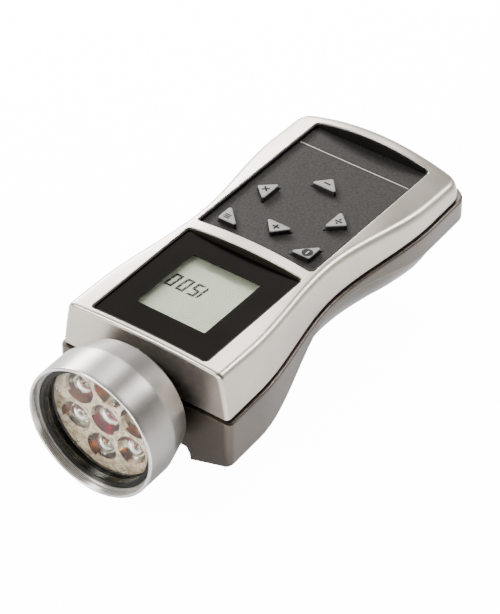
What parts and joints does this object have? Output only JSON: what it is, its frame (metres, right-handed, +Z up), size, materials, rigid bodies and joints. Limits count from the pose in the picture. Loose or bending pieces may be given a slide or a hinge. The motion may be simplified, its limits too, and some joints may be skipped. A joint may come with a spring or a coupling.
{
  "type": "hand-held led stroboscope",
  "caption": "Hand-held LED stroboscope: turned round lamp head with collimator lenses, waisted two-tone body, LCD window, arrow keys and a sliding battery cover.",
  "frame": {"origin": "middle of the bounding box in plan, at the height of the surface it stands on", "axes": "-Y the way the lamp points, +Z up through the deck, +X the right-hand side seen from the tail, which is the flank in the picture"},
  "size_m": [0.0798, 0.191, 0.0566],
  "materials": {
    "silver_shell": "satin silver paint on moulded plastic",
    "grey_shell": "satin warm grey moulding",
    "black_seal": "matt",
    "screw_steel": "plain",
    "lamp_metal": "turned, satin",
    "black_plastic": "matt black",
    "clear_disc": "clear",
    "lens_plastic": "clear polished",
    "board_white": "white solder mask",
    "led_yellow": "phosphor",
    "sink_metal": "plain",
    "smoked_window": "smoked, glossy",
    "lcd": "reflective grey-green",
    "contact_strip": "matt",
    "key_panel": "fine texture",
    "key_plastic": "satin light grey",
    "switch_mat": "matt",
    "circuit_board": "green solder mask",
    "cell_can": "printed sleeve",
    "contact_metal": "plated",
    "insert_brass": "turned"
  },
  "bodies": {
    "housing": {"upper_shell": "silver_shell", "lower_shell": "grey_shell", "shell_gasket": "black_seal", "shell_screws": "screw_steel", "lamp_housing": "lamp_metal", "retaining_ring": "black_plastic", "cover_disc": "clear_disc", "cover_seal": "black_seal", "lens_array": "lens_plastic", "led_board": "board_white", "leds": "led_yellow", "lamp_neck": "black_plastic", "lamp_screws": "screw_steel", "heat_sink": "sink_metal", "display_window": "smoked_window", "display_bezel": "black_plastic", "lcd_glass": "lcd", "lcd_strips": "contact_strip", "keypad_panel": "key_panel", "keypad_frame": "black_plastic", "key_mat": "switch_mat", "main_board": "circuit_board", "board_screws": "screw_steel", "driver_board": "circuit_board", "cell_carrier": "black_plastic", "cells": "cell_can", "cell_contacts": "contact_metal", "tripod_insert": "insert_brass", "trigger_socket": "black_plastic"},
    "key_plus": {"key_plus": "key_plastic"},
    "key_minus": {"key_minus": "key_plastic"},
    "key_times": {"key_times": "key_plastic"},
    "key_divide": {"key_divide": "key_plastic"},
    "key_mode": {"key_mode": "key_plastic"},
    "key_power": {"key_power": "key_plastic"},
    "battery_cover": {"battery_cover": "grey_shell"}
  },
  "joints": [
    {"name": "key_plus_press", "type": "slide", "parent": "housing", "child": "key_plus", "axis": [0, -0.0291, -0.9996], "range_m": [0, 0.0008], "stiffness_N_per_m": 200},
    {"name": "key_minus_press", "type": "slide", "parent": "housing", "child": "key_minus", "axis": [0, -0.0291, -0.9996], "range_m": [0, 0.0008], "stiffness_N_per_m": 200},
    {"name": "key_times_press", "type": "slide", "parent": "housing", "child": "key_times", "axis": [0, -0.0291, -0.9996], "range_m": [0, 0.0008], "stiffness_N_per_m": 200},
    {"name": "key_divide_press", "type": "slide", "parent": "housing", "child": "key_divide", "axis": [0, -0.0291, -0.9996], "range_m": [0, 0.0008], "stiffness_N_per_m": 200},
    {"name": "key_mode_press", "type": "slide", "parent": "housing", "child": "key_mode", "axis": [0, -0.0291, -0.9996], "range_m": [0, 0.0008], "stiffness_N_per_m": 200},
    {"name": "key_power_press", "type": "slide", "parent": "housing", "child": "key_power", "axis": [0, -0.0291, -0.9996], "range_m": [0, 0.0008], "stiffness_N_per_m": 200},
    {"name": "battery_cover_slide", "type": "slide", "parent": "housing", "child": "battery_cover", "axis": [0, -1, 0], "range_m": [0, 0.016]}
  ]
}
